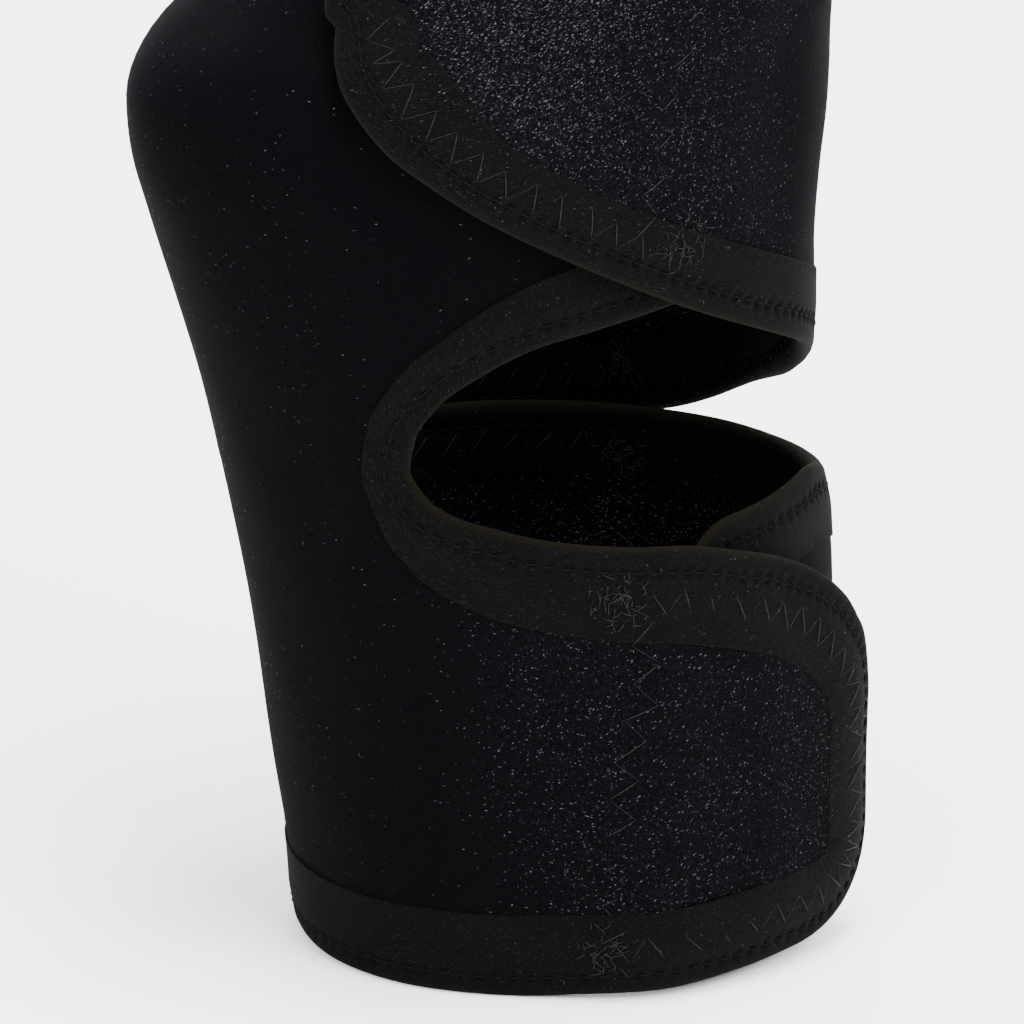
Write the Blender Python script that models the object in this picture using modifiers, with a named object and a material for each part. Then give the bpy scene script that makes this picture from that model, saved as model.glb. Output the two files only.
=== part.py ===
"""Ankle support: one padded sheet wrapped round the ankle, its two hook patches and the tape on its edge.

The sheet is described on a form: an angle round the upright axis (0 at the heel, 90 on the near side,
180 opposite the heel) and a height. Its four wings pass behind and over each other, so an angle runs on
past 180 where a wing goes round the back. Lengths are in metres.
"""

import math
from typing import NamedTuple

import bmesh
import bpy
import numpy as np

# Driving sizes
HEIGHT = 0.196
HEEL_REACH = 0.0765
BACK_REACH = 0.0394
HALF_WIDTH = 0.0397
SHEET = 0.003
TAPE = 0.0007
TAPE_WIDTH = 0.011
PATCH = 0.001
CLEARANCE = 0.00045
LAYER_CLEARANCE = 0.0005
PATCH_SEAT = 0.0004
PATCH_MARGIN = 0.002
END_RADIUS = 0.0145
FLAP_RADIUS = 0.0155
STRAP_RADIUS = 0.017
END_STEP = 0.008

# What follows from them
RIM = TAPE + CLEARANCE
LIFT = SHEET + RIM + LAYER_CLEARANCE + max(RIM, PATCH + PATCH_SEAT)
TAPE_FACE = SHEET / 2 + RIM

# Angles in degrees
NEAR_ROOT = 41.7
FAR_ROOT = -43.0
FLAP_TIP = 136.0
NEAR_END = 119.0
FAR_END = -270.0
STRAP_TIP = -338.0
LOWER_STEP = 11.5
UPPER_STEP = 9.7
SEAM_PARTS = 9
CLOSEST_COLUMNS = 1.2
LOWER_ROWS = 10
UPPER_ROWS = 14
PATCH_ROWS = 6
NARROWEST_MARGIN = 0.2

# The form's sections. height: share of HEIGHT; heel, back, side: shares of HEEL_REACH, BACK_REACH, HALF_WIDTH
SECTIONS = (
    (0.000, 0.592, 0.950, 0.935),
    (0.061, 0.602, 0.985, 0.970),
    (0.153, 0.638, 1.000, 0.990),
    (0.255, 0.678, 1.015, 1.000),
    (0.367, 0.739, 0.985, 0.982),
    (0.469, 0.805, 0.880, 0.957),
    (0.571, 0.888, 0.862, 0.947),
    (0.643, 0.950, 0.900, 0.942),
    (0.694, 0.990, 0.945, 0.940),
    (0.735, 1.000, 0.955, 0.937),
    (0.776, 0.948, 0.955, 0.932),
    (0.816, 0.796, 0.950, 0.927),
    (0.867, 0.675, 0.945, 0.917),
    (0.929, 0.617, 0.940, 0.907),
    (1.000, 0.592, 0.936, 0.902),
)

# The bands' edges. angle: degrees; height: share of HEIGHT
LOWER_BAND_FOOT = (
    (FAR_END, 0.0), (50.0, 0.0), (65.0, 0.005), (75.0, 0.008), (90.0, 0.011), (105.0, 0.014),
    (FLAP_TIP, 0.017),
)
LOWER_BAND_TOP = (
    (FAR_END, 0.376), (-256.0, 0.387), (-225.0, 0.388),
    (-201.0, 0.368), (-160.0, 0.359), (-96.0, 0.372), (-55.0, 0.378), (-46.5, 0.383), (-43.6, 0.390),
    (FAR_ROOT, 0.400),
    (NEAR_ROOT, 0.456), (42.5, 0.446), (44.0, 0.436), (47.4, 0.4250), (58.5, 0.409), (80.0, 0.392),
    (91.4, 0.383), (100.0, 0.370), (110.0, 0.352), (118.0, 0.332), (124.0, 0.311), (130.0, 0.281),
    (134.5, 0.244), (FLAP_TIP, 0.215),
)
UPPER_BAND_FOOT = (
    (STRAP_TIP, 0.870), (-335.5, 0.838), (-326.0, 0.800), (-311.0, 0.751), (-292.0, 0.678), (-262.0, 0.586),
    (-234.0, 0.522), (-206.0, 0.469), (-183.5, 0.420), (-167.0, 0.389), (-147.0, 0.352), (-125.0, 0.342),
    (-107.0, 0.346), (-95.0, 0.360), (-85.0, 0.383), (-73.0, 0.401), (-60.0, 0.410), (-46.5, 0.415),
    (-43.6, 0.410), (FAR_ROOT, 0.400),
    (NEAR_ROOT, 0.456), (42.5, 0.466), (44.0, 0.478), (50.6, 0.511), (61.8, 0.541), (71.4, 0.558),
    (84.6, 0.567), (102.0, 0.5745), (NEAR_END, 0.579),
)
UPPER_BAND_TOP = ((STRAP_TIP, 1.0), (NEAR_END, 1.0))

# Columns that the strips have besides the evenly spaced ones
FAR_COLUMNS = (-92.0, -85.0, -78.0, -71.0, -64.0, -57.0, -51.0, -46.5, -43.6, FAR_ROOT)
NEAR_COLUMNS = (NEAR_ROOT, 42.5, 44.0, 47.4, 53.0, 59.0, 65.0, 71.0, 78.0, 85.0, 91.0)
SEAM_PART = (NEAR_ROOT - FAR_ROOT) / SEAM_PARTS
SEAM_COLUMNS = tuple(FAR_ROOT + SEAM_PART * k for k in range(1, SEAM_PARTS))
FLAP_COLUMNS = (110.0,)
STRAP_COLUMNS = (
    -335.5, -331.0, -323.6, -318.5, -314.0, -308.0, -244.0, -238.0, -231.0, -224.0, -217.0, -210.0, -203.0,
    -190.0, -184.0, -178.0, -172.0, -166.5, -161.0, -155.0,
)
CORNER_SHARES = (0.076, 0.293, 0.617, 1.0)

# How far a band stands out from the form where it lies over the other layer.
# angle: degrees; lift: share of LIFT
STRAP_LAYERS = (
    (-43.0, 0.0), (-85.0, 1.0), (-158.0, 1.0), (-190.0, 0.35), (-203.0, 0.35), (-238.0, 1.0),
)
FLAP_LAYERS = ((50.0, 0.0), (85.0, 1.0), (108.0, 1.0), (FLAP_TIP, 1.42))

# The hook patches, from their straight end to their rounded tip. Degrees
LOWER_PATCH = (78.0, 117.5)
UPPER_PATCH = (-266.0, -319.0)
PATCH_CORNER = 9.0
PATCH_TIP_CUT = 0.3

# The tape stands past the sheet's cut edge, so the cut keeps that far inside the edges above. Degrees
RIM_GROWTH = 4.0

# The tape is gathered narrower round the openings' tight roots
ROOT_NARROWING = 0.35
ROOT_SPREAD = 0.006

TAPE_COLOUR = (0.022, 0.021, 0.02)


class Edge(NamedTuple):
    """A band's foot (side -1) or top (side 1), with the radius of its rounded corners by their angle."""

    band: str
    table: tuple
    side: int
    corners: dict


class Band(NamedTuple):
    """A band's two edges and the angles of its columns."""

    foot: Edge
    top: Edge
    columns: list


def curve(rows, column, at):
    """A smooth curve through one column of a table, never beyond its neighbouring rows."""
    places = [row[0] for row in rows]
    values = [row[column] for row in rows]
    spans = [after - before for before, after in zip(places, places[1:])]
    slopes = [(values[i + 1] - values[i]) / spans[i] for i in range(len(spans))]
    tangents = [slopes[0]]
    for i in range(1, len(slopes)):
        before, after = slopes[i - 1], slopes[i]
        tangent = (before * spans[i] + after * spans[i - 1]) / (spans[i - 1] + spans[i])
        limit = 3 * min(abs(before), abs(after)) if before * after > 0 else 0.0
        tangents.append(min(max(tangent, -limit), limit))
    tangents.append(slopes[-1])
    at = min(max(at, places[0]), places[-1])
    i = min(max(int(np.searchsorted(places, at, "right")) - 1, 0), len(spans) - 1)
    t = (at - places[i]) / spans[i]
    start = (2 * t**3 - 3 * t**2 + 1) * values[i] + (t**3 - 2 * t**2 + t) * spans[i] * tangents[i]
    end = (3 * t**2 - 2 * t**3) * values[i + 1] + (t**3 - t**2) * spans[i] * tangents[i + 1]
    return start + end


def plain_height(edge, angle):
    """The height of a band's edge without its corners. Between the roots the bands meet in a seam."""
    heights = dict(edge.table)
    if FAR_ROOT not in heights:
        return curve(edge.table, 1, angle) * HEIGHT - edge.side * RIM
    if FAR_ROOT <= angle <= NEAR_ROOT:
        along = (angle - FAR_ROOT) / (NEAR_ROOT - FAR_ROOT)
        return (heights[FAR_ROOT] + along * (heights[NEAR_ROOT] - heights[FAR_ROOT])) * HEIGHT
    share = curve([row for row in edge.table if (row[0] < 0) == (angle < 0)], 1, angle)
    past_root = FAR_ROOT - angle if angle < 0 else angle - NEAR_ROOT
    return share * HEIGHT - edge.side * RIM * min(past_root / RIM_GROWTH, 1.0)


def edge_height(edge, angle):
    """The height of a band's edge, its rounded corners taken off."""
    height = plain_height(edge, angle)
    for end, radius in edge.corners.items():
        metres_a_degree = np.linalg.norm(form_frame(end, height)[0])
        across = radius - abs(angle - end) * metres_a_degree
        if across > 0:
            height -= edge.side * (radius - math.sqrt(max(radius * radius - across * across, 0.0)))
    return height


def corner_columns(edge):
    """The angles of the columns that turn an edge's corners."""
    angles = []
    for end, radius in edge.corners.items():
        metres_a_degree = np.linalg.norm(form_frame(end, plain_height(edge, end))[0])
        inward = -1 if end > 0 else 1
        angles += [end + inward * share * radius / metres_a_degree for share in CORNER_SHARES]
    return angles


def lower_band():
    foot = Edge("lower", LOWER_BAND_FOOT, -1, {FLAP_TIP: FLAP_RADIUS, FAR_END: FLAP_RADIUS})
    top = Edge("lower", LOWER_BAND_TOP, 1, {FAR_END: END_RADIUS})
    columns = [FAR_END, *FAR_COLUMNS, *SEAM_COLUMNS, *NEAR_COLUMNS, *FLAP_COLUMNS, FLAP_TIP]
    return Band(foot, top, filled(columns + corner_columns(foot), LOWER_STEP))


def upper_band():
    foot = Edge("upper", UPPER_BAND_FOOT, -1, {NEAR_END: END_RADIUS})
    top = Edge("upper", UPPER_BAND_TOP, 1, {STRAP_TIP: STRAP_RADIUS, NEAR_END: END_RADIUS})
    columns = [STRAP_TIP, *STRAP_COLUMNS, *FAR_COLUMNS, *SEAM_COLUMNS, *NEAR_COLUMNS, NEAR_END]
    return Band(foot, top, filled(columns + corner_columns(foot), UPPER_STEP))


def climb(band, angle):
    """How far a band stands out from the form, where it lies over the other layer."""
    layers = STRAP_LAYERS if band == "upper" else FLAP_LAYERS
    share = layers[0][1]
    for (start, before), (end, after) in zip(layers, layers[1:]):
        t = min(max((angle - start) / (end - start), 0.0), 1.0)
        share += (after - before) * t * t * (3 - 2 * t)
    return LIFT * share


def form(angle, height):
    """A point of the form, the middle of the inner layer."""
    share = height / HEIGHT
    heel = HEEL_REACH * curve(SECTIONS, 1, share)
    back = BACK_REACH * curve(SECTIONS, 2, share)
    side = HALF_WIDTH * curve(SECTIONS, 3, share)
    turn = math.radians(angle)
    return np.array((
        (back - heel) / 2 - (heel + back) / 2 * math.cos(turn),
        -side * math.sin(turn),
        height,
    ))


def form_frame(angle, height):
    """The form's two tangents, per degree and per metre, and its outward normal."""
    turn_step = 0.05
    rise_step = 0.0002
    low = max(height - rise_step, 0.0)
    high = min(height + rise_step, HEIGHT)
    along = (form(angle + turn_step, height) - form(angle - turn_step, height)) / (2 * turn_step)
    upward = (form(angle, high) - form(angle, low)) / (high - low)
    normal = np.cross(along, upward)
    return along, upward, normal / np.linalg.norm(normal)


def place(band, angle, height, out=0.0):
    """A point of a band, at a distance outside its middle."""
    normal = form_frame(angle, height)[2]
    return form(angle, height) + normal * (climb(band, angle) + out)


def filled(angles, step, closest=CLOSEST_COLUMNS):
    """The given angles in order, without near twins, with equal parts of at most a step between them."""
    ordered = sorted(angles)
    fixed = {FAR_ROOT, NEAR_ROOT, ordered[0], ordered[-1]}
    kept = [ordered[0]]
    for angle in ordered[1:]:
        if angle - kept[-1] < closest and abs(angle - NEAR_ROOT) > 2 and abs(angle - FAR_ROOT) > 2:
            if angle not in fixed:
                continue
            kept.pop()
        kept.append(angle)
    result = [kept[0]]
    for before, after in zip(kept, kept[1:]):
        parts = math.ceil((after - before) / step)
        result += [before + (after - before) * (k + 1) / parts for k in range(parts)]
    return result


def add_object(name, bm, material, collection, parent):
    mesh = bpy.data.meshes.new(name)
    bm.to_mesh(mesh)
    bm.free()
    mesh.materials.append(material)
    obj = bpy.data.objects.new(name, mesh)
    obj.parent = parent
    collection.objects.link(obj)
    return obj


def add_sheet(name, strips, material, collection, parent):
    """An open surface through the strips' rows of points, as an object."""
    bm = bmesh.new()
    for rows in strips:
        verts = [[bm.verts.new(tuple(point)) for point in row] for row in rows]
        for a, b in zip(verts, verts[1:]):
            for k in range(len(a) - 1):
                bm.faces.new((a[k], a[k + 1], b[k + 1], b[k]))
    bmesh.ops.remove_doubles(bm, verts=bm.verts, dist=1e-6)
    return add_object(name, bm, material, collection, parent)


def thicken(obj, thickness):
    """Give an open surface its thickness, half on each side."""
    solid = obj.modifiers.new("Thickness", "SOLIDIFY")
    solid.thickness = thickness
    solid.offset = 0.0
    solid.use_even_offset = True


def make_material(name, colour, roughness):
    material = bpy.data.materials.new(name)
    material.use_nodes = True
    shader = material.node_tree.nodes["Principled BSDF"]
    shader.inputs["Base Color"].default_value = (*colour, 1.0)
    shader.inputs["Roughness"].default_value = roughness
    shader.inputs["Metallic"].default_value = 0.0
    material.diffuse_color = (*colour, 1.0)
    return material


def strip(band, count):
    """The points of one band, a row of them up each column, with two closer rows under the tape."""
    rows = []
    for angle in band.columns:
        low = edge_height(band.foot, angle)
        high = edge_height(band.top, angle)
        margin = min(TAPE_WIDTH, (high - low) * NARROWEST_MARGIN)
        inner = count - 4
        heights = [low, low + margin / 2]
        heights += [low + margin + (high - low - 2 * margin) * k / inner for k in range(inner + 1)]
        heights += [high - margin / 2, high]
        rows.append([place(band.foot.band, angle, height) for height in heights])
    return rows


def make_panel(lower, upper, collection, parent):
    """The padded sheet: the lower and the upper band, one sheet between the openings' roots."""
    material = make_material("napped_neoprene", (0.012, 0.013, 0.017), 0.9)
    strips = (strip(lower, LOWER_ROWS), strip(upper, UPPER_ROWS))
    panel = add_sheet("wrap_panel", strips, material, collection, parent)
    thicken(panel, SHEET)


def inset(edge, angle, depth):
    """How far up or down a column a line at a depth inside a sloping edge lies."""
    step = 1.0
    ahead = place(edge.band, angle + step, plain_height(edge, angle + step))
    behind = place(edge.band, angle - step, plain_height(edge, angle - step))
    rise = ahead[2] - behind[2]
    run = math.hypot(ahead[0] - behind[0], ahead[1] - behind[1])
    return depth * math.hypot(1.0, rise / run)


def make_patch(name, band, span, collection, parent):
    """A hook patch on the inner face of an outer wing's tip, inside the tape all round."""
    out = -(SHEET / 2 + PATCH_SEAT + PATCH / 2)
    start, tip = span
    rounded = tip - math.copysign(PATCH_CORNER, tip - start)
    corners = [tip - (tip - rounded) * share for share in CORNER_SHARES]
    rows = []
    for angle in filled([start, tip, *corners], UPPER_STEP, 0.0):
        low = plain_height(band.foot, angle) + inset(band.foot, angle, TAPE_WIDTH + PATCH_MARGIN)
        high = plain_height(band.top, angle) - inset(band.top, angle, TAPE_WIDTH + PATCH_MARGIN)
        turned = min(max((angle - rounded) / (tip - rounded), 0.0), 1.0)
        cut = (high - low) * PATCH_TIP_CUT * (1 - math.sqrt(1 - turned * turned))
        low += cut
        high -= cut
        heights = [low + (high - low) * k / PATCH_ROWS for k in range(PATCH_ROWS + 1)]
        rows.append([place(band.foot.band, angle, height, out) for height in heights])
    patch = add_sheet(name, (rows,), make_material(name, (0.01, 0.01, 0.011), 0.7), collection, parent)
    thicken(patch, PATCH)


def tape_reach(point, roots):
    """The tape's width in the sheet's plane, less where it is gathered round a root."""
    nearest = min(np.linalg.norm(point - root) for root in roots)
    return TAPE_WIDTH * (1 - ROOT_NARROWING * math.exp(-((nearest / ROOT_SPREAD) ** 2)))


def end_run(band, angle, start, stop):
    """Points up or down a band's straight end, without its corners."""
    count = max(1, round(abs(stop - start) / END_STEP))
    return [(band, angle, start + (stop - start) * k / count) for k in range(count + 1)]


def edge_run(edge, columns, start, stop):
    """Points along a band's edge, from one angle to another."""
    low, high = min(start, stop), max(start, stop)
    angles = [angle for angle in columns if low <= angle <= high]
    if start > stop:
        angles.reverse()
    return [(edge.band, angle, edge_height(edge, angle)) for angle in angles]


def heading(points, k):
    """The direction of a path at its k-th point, as a circle through its neighbours has it."""
    after = points[min(k + 1, len(points) - 1)] - points[min(k, len(points) - 2)]
    before = points[max(k, 1)] - points[max(k - 1, 0)]
    after_length = np.linalg.norm(after)
    before_length = np.linalg.norm(before)
    return after * before_length / after_length + before * after_length / before_length


def tape_section(reach):
    """The folded tape's section: depth into the sheet from its edge, and distance from its middle."""
    inner_face = TAPE_FACE - TAPE
    outside = [(reach, TAPE_FACE), (reach / 2, TAPE_FACE), (-RIM, TAPE_FACE)]
    inside = [(reach, inner_face), (reach / 2, inner_face), (-CLEARANCE, inner_face)]
    outside += [(depth, -out) for depth, out in reversed(outside)]
    inside += [(depth, -out) for depth, out in reversed(inside)]
    return outside, inside


def make_binding(name, path, roots, flat_foot, collection, parent):
    """Tape folded over the sheet's edge: a U-shaped section lofted along the path."""
    points = [place(band, angle, height) for band, angle, height in path]
    bm = bmesh.new()
    skins = ([], [])
    for k, (band, angle, height) in enumerate(path):
        ahead = heading(points, k)
        along, upward, normal = form_frame(angle, height)
        inward = np.cross(ahead, normal)
        inward /= np.linalg.norm(inward)
        metric = np.array(((along @ along, along @ upward), (along @ upward, upward @ upward)))
        turn, rise = np.linalg.solve(metric, np.array((along @ inward, upward @ inward)))
        for skin, section in zip(skins, tape_section(tape_reach(points[k], roots))):
            ring = []
            for depth, out in section:
                at_height = height + rise * depth
                on_form = min(max(at_height, 0.0), HEIGHT)
                point = place(band, angle + turn * depth, on_form, out)
                point[2] += at_height - on_form
                if flat_foot:
                    point[2] = 0.0 if depth < -CLEARANCE and height <= RIM else max(point[2], 0.0)
                ring.append(bm.verts.new(tuple(point)))
            skin.append(ring)
    outer, inner = skins
    for k in range(len(path) - 1):
        for side in (outer, inner):
            for a in range(len(side[k]) - 1):
                bm.faces.new((side[k][a], side[k][a + 1], side[k + 1][a + 1], side[k + 1][a]))
        for a in (0, -1):
            bm.faces.new((outer[k][a], outer[k + 1][a], inner[k + 1][a], inner[k][a]))
    for k in (0, -1):
        for a in range(len(outer[k]) - 1):
            bm.faces.new((outer[k][a], outer[k][a + 1], inner[k][a + 1], inner[k][a]))
    bmesh.ops.recalc_face_normals(bm, faces=bm.faces)
    add_object(name, bm, make_material(name, TAPE_COLOUR, 0.85), collection, parent)


def make_bindings(lower, upper, collection, parent):
    """The tape round the whole outline, in four lengths that meet half way up the bands' ends."""
    half = CLEARANCE / 2
    ends = {FLAP_TIP: lower, FAR_END: lower, STRAP_TIP: upper, NEAR_END: upper}
    foot = {angle: edge_height(band.foot, angle) for angle, band in ends.items()}
    head = {angle: edge_height(band.top, angle) for angle, band in ends.items()}
    middle = {angle: (foot[angle] + head[angle]) / 2 for angle in ends}
    bottom = (
        end_run("lower", FLAP_TIP, middle[FLAP_TIP] - half, foot[FLAP_TIP])[:-1]
        + edge_run(lower.foot, lower.columns, FLAP_TIP, FAR_END)
        + end_run("lower", FAR_END, foot[FAR_END], middle[FAR_END] - half)[1:]
    )
    strap = (
        end_run("lower", FAR_END, middle[FAR_END] + half, head[FAR_END])[:-1]
        + edge_run(lower.top, lower.columns, FAR_END, FAR_ROOT)
        + edge_run(upper.foot, upper.columns, FAR_ROOT, STRAP_TIP)[1:]
        + end_run("upper", STRAP_TIP, foot[STRAP_TIP], middle[STRAP_TIP] - half)[1:]
    )
    top = (
        end_run("upper", STRAP_TIP, middle[STRAP_TIP] + half, head[STRAP_TIP])[:-1]
        + edge_run(upper.top, upper.columns, STRAP_TIP, NEAR_END)
        + end_run("upper", NEAR_END, head[NEAR_END], middle[NEAR_END] + half)[1:]
    )
    opening = (
        end_run("upper", NEAR_END, middle[NEAR_END] - half, foot[NEAR_END])[:-1]
        + edge_run(upper.foot, upper.columns, NEAR_END, NEAR_ROOT)
        + edge_run(lower.top, lower.columns, NEAR_ROOT, FLAP_TIP)[1:]
        + end_run("lower", FLAP_TIP, head[FLAP_TIP], middle[FLAP_TIP] + half)[1:]
    )
    roots = [place("upper", angle, edge_height(upper.foot, angle)) for angle in (NEAR_ROOT, FAR_ROOT)]
    make_binding("bottom_binding", bottom, roots, True, collection, parent)
    make_binding("strap_binding", strap, roots, False, collection, parent)
    make_binding("top_binding", top, roots, False, collection, parent)
    make_binding("opening_binding", opening, roots, False, collection, parent)


def centre_over_origin(collection, parent):
    """Move the whole part so that its box stands on the origin with its foot's middle there."""
    bpy.context.view_layer.update()
    graph = bpy.context.evaluated_depsgraph_get()
    corners = []
    for obj in collection.objects:
        if obj.type == "MESH":
            evaluated = obj.evaluated_get(graph)
            corners += [evaluated.matrix_world @ vertex.co for vertex in evaluated.data.vertices]
    low = [min(corner[k] for corner in corners) for k in range(3)]
    high = [max(corner[k] for corner in corners) for k in range(3)]
    parent.location = (-(low[0] + high[0]) / 2, -(low[1] + high[1]) / 2, -low[2])
    bpy.context.view_layer.update()


def main():
    for obj in list(bpy.data.objects):
        bpy.data.objects.remove(obj, do_unlink=True)
    collection = bpy.data.collections.new("ankle_support")
    bpy.context.scene.collection.children.link(collection)
    parent = bpy.data.objects.new("ankle_support_axis", None)
    collection.objects.link(parent)
    lower = lower_band()
    upper = upper_band()
    make_panel(lower, upper, collection, parent)
    make_patch("lower_hook_patch", lower, LOWER_PATCH, collection, parent)
    make_patch("upper_hook_patch", upper, UPPER_PATCH, collection, parent)
    make_bindings(lower, upper, collection, parent)
    centre_over_origin(collection, parent)


main()
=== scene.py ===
"""Ankle support: the looks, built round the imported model, which is loaded as a fixed frame.

The sheet is described as in the CAD: on a form, by an angle round the upright axis (0 at the heel, 90 on the
near side, 180 opposite the heel) and a height. Lengths are in metres unless a name ends in mm.
"""

import math

import bmesh
import bpy
import numpy as np
from bpy.props import FloatProperty, FloatVectorProperty, IntProperty, PointerProperty
from mathutils import Matrix, Vector
from mathutils.kdtree import KDTree


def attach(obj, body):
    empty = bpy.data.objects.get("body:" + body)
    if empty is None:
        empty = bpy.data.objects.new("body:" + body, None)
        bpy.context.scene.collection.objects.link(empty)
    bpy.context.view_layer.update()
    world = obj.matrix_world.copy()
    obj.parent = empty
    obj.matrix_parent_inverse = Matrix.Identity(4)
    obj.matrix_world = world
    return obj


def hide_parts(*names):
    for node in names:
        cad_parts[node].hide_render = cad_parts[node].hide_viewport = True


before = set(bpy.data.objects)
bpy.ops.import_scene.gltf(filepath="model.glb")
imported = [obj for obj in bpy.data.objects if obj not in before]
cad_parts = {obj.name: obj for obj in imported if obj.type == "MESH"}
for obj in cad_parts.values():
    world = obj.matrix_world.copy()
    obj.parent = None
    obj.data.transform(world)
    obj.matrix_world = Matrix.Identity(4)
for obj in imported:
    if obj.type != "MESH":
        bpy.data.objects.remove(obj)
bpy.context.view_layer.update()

bl_info = {
    "name": "Ankle Support",
    "version": (1, 0, 0),
    "blender": (4, 5, 0),
    "location": "View3D > Sidebar > Ankle Support",
    "description": "A wrapped neoprene ankle support with its tape, seams, hook patches and napped face",
    "category": "Object",
}

MM = 0.001
BODY = "root"

# Where the form's axis stands in the model
FORM_ORIGIN = np.array((0.0166695, 0.0001786, 0.0))

# Angles in degrees
NEAR_ROOT = 41.7
FAR_ROOT = -43.0
FLAP_TIP = 136.0
NEAR_END = 119.0
FAR_END = -270.0
STRAP_TIP = -338.0

# The form's sections. height: share of the height; heel, back, side: shares of the three reaches
SECTIONS = (
    (0.000, 0.592, 0.950, 0.935),
    (0.061, 0.602, 0.985, 0.970),
    (0.153, 0.638, 1.000, 0.990),
    (0.255, 0.678, 1.015, 1.000),
    (0.367, 0.739, 0.985, 0.982),
    (0.469, 0.805, 0.880, 0.957),
    (0.571, 0.888, 0.862, 0.947),
    (0.643, 0.950, 0.900, 0.942),
    (0.694, 0.990, 0.945, 0.940),
    (0.735, 1.000, 0.955, 0.937),
    (0.776, 0.948, 0.955, 0.932),
    (0.816, 0.796, 0.950, 0.927),
    (0.867, 0.675, 0.945, 0.917),
    (0.929, 0.617, 0.940, 0.907),
    (1.000, 0.592, 0.936, 0.902),
)

# The bands' edges. angle: degrees; height: share of the height
LOWER_FOOT = (
    (FAR_END, 0.0), (50.0, 0.0), (65.0, 0.005), (75.0, 0.008), (90.0, 0.011), (105.0, 0.014),
    (FLAP_TIP, 0.017),
)
LOWER_TOP = (
    (FAR_END, 0.376), (-256.0, 0.387), (-225.0, 0.388),
    (-201.0, 0.368), (-160.0, 0.359), (-96.0, 0.372), (-55.0, 0.378), (-46.5, 0.383), (-43.6, 0.390),
    (FAR_ROOT, 0.400),
    (NEAR_ROOT, 0.456), (42.5, 0.446), (44.0, 0.436), (47.4, 0.4250), (58.5, 0.409), (80.0, 0.392),
    (91.4, 0.383), (100.0, 0.370), (110.0, 0.352), (118.0, 0.332), (124.0, 0.311), (130.0, 0.281),
    (134.5, 0.244), (FLAP_TIP, 0.215),
)
UPPER_FOOT = (
    (STRAP_TIP, 0.870), (-335.5, 0.838), (-326.0, 0.800), (-311.0, 0.751), (-292.0, 0.678), (-262.0, 0.586),
    (-234.0, 0.522), (-206.0, 0.469), (-183.5, 0.420), (-167.0, 0.389), (-147.0, 0.352), (-125.0, 0.342),
    (-107.0, 0.346), (-95.0, 0.360), (-85.0, 0.383), (-73.0, 0.401), (-60.0, 0.410), (-46.5, 0.415),
    (-43.6, 0.410), (FAR_ROOT, 0.400),
    (NEAR_ROOT, 0.456), (42.5, 0.466), (44.0, 0.478), (50.6, 0.511), (61.8, 0.541), (71.4, 0.558),
    (84.6, 0.567), (102.0, 0.5745), (NEAR_END, 0.579),
)
UPPER_TOP = ((STRAP_TIP, 1.0), (NEAR_END, 1.0))

# Each band, by whether it is the upper one: its first and last angle, its foot and its top
BANDS = {
    False: (FAR_END, FLAP_TIP, LOWER_FOOT, LOWER_TOP),
    True: (STRAP_TIP, NEAR_END, UPPER_FOOT, UPPER_TOP),
}

# How far a band stands out from the form where it lies over the other layer.
# angle: degrees; lift: share of LIFT
STRAP_LAYERS = (
    (-43.0, 0.0), (-85.0, 1.0), (-158.0, 1.0), (-190.0, 0.35), (-203.0, 0.35), (-238.0, 1.0),
)
FLAP_LAYERS = ((50.0, 0.0), (85.0, 1.0), (108.0, 1.0), (FLAP_TIP, 1.42))
LIFT = 0.00605

# The tape stands past the sheet's cut edge, so the cut keeps that far inside the edges above. Degrees
RIM_GROWTH = 4.0

# Rounded corners of the wings
END_RADIUS = 0.0145
FLAP_RADIUS = 0.0155
STRAP_RADIUS = 0.017

# The straight ends of the patches' seams, up the sheet. height: share of the height; angle: degrees
STRAP_SEAM = ((0.55, -269.5), (0.661, -268.3), (0.696, -265.9), (0.743, -264.4), (0.791, -265.0),
              (0.836, -267.6), (1.0, -268.5))
FLAP_SEAM = ((0.0, 68.5), (0.098, 70.4), (0.158, 72.1), (0.218, 74.0), (0.275, 78.0), (0.343, 79.0),
             (0.41, 79.5))
FAR_BACK_SEAM = ((0.0, -137.0), (1.0, -137.0))
FAR_FRONT_SEAM = ((0.0, -80.0), (1.0, -80.0))

# The zigzag seams. Each: whether it is on the upper band, its line up the sheet, and on each tape that it
# crosses the two angles between which it runs and the angle of its tangle
ZIGZAGS = {
    "strap_patch_seam": (True, STRAP_SEAM, (("strap", -400, -266, -266), ("top", -400, -268, -268))),
    "flap_patch_seam": (False, FLAP_SEAM, (("opening", 78, 200, 78), ("bottom", 69, 200, 70))),
    "far_strap_seam": (True, FAR_BACK_SEAM, (("strap", -137, -80, -137), ("top", -137, -80, -137))),
    "far_band_seam": (False, FAR_BACK_SEAM, (("strap", -137, -80, -137), ("bottom", -137, -80, -137))),
}

# Steps for the form's tangents, in degrees and metres
TURN_STEP = 0.05
RISE_STEP = 0.0002
# Steps along a band's edge and up a wing's end
EDGE_STEPS = 1600
END_STEPS = 200


def linear(colour):
    """An sRGB hex colour as linear red, green, blue and alpha."""
    channels = [int(colour[k:k + 2], 16) / 255 for k in (1, 3, 5)]
    return (*(c / 12.92 if c <= 0.04045 else ((c + 0.055) / 1.055) ** 2.4 for c in channels), 1.0)


# Sizes and colours that a user would change

def metres(name, description, value):
    return FloatProperty(name=name, description=description, default=value, unit="LENGTH")


def hex_colour(name, description, value):
    return FloatVectorProperty(
        name=name, description=description, size=4, subtype="COLOR", default=linear(value))


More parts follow.
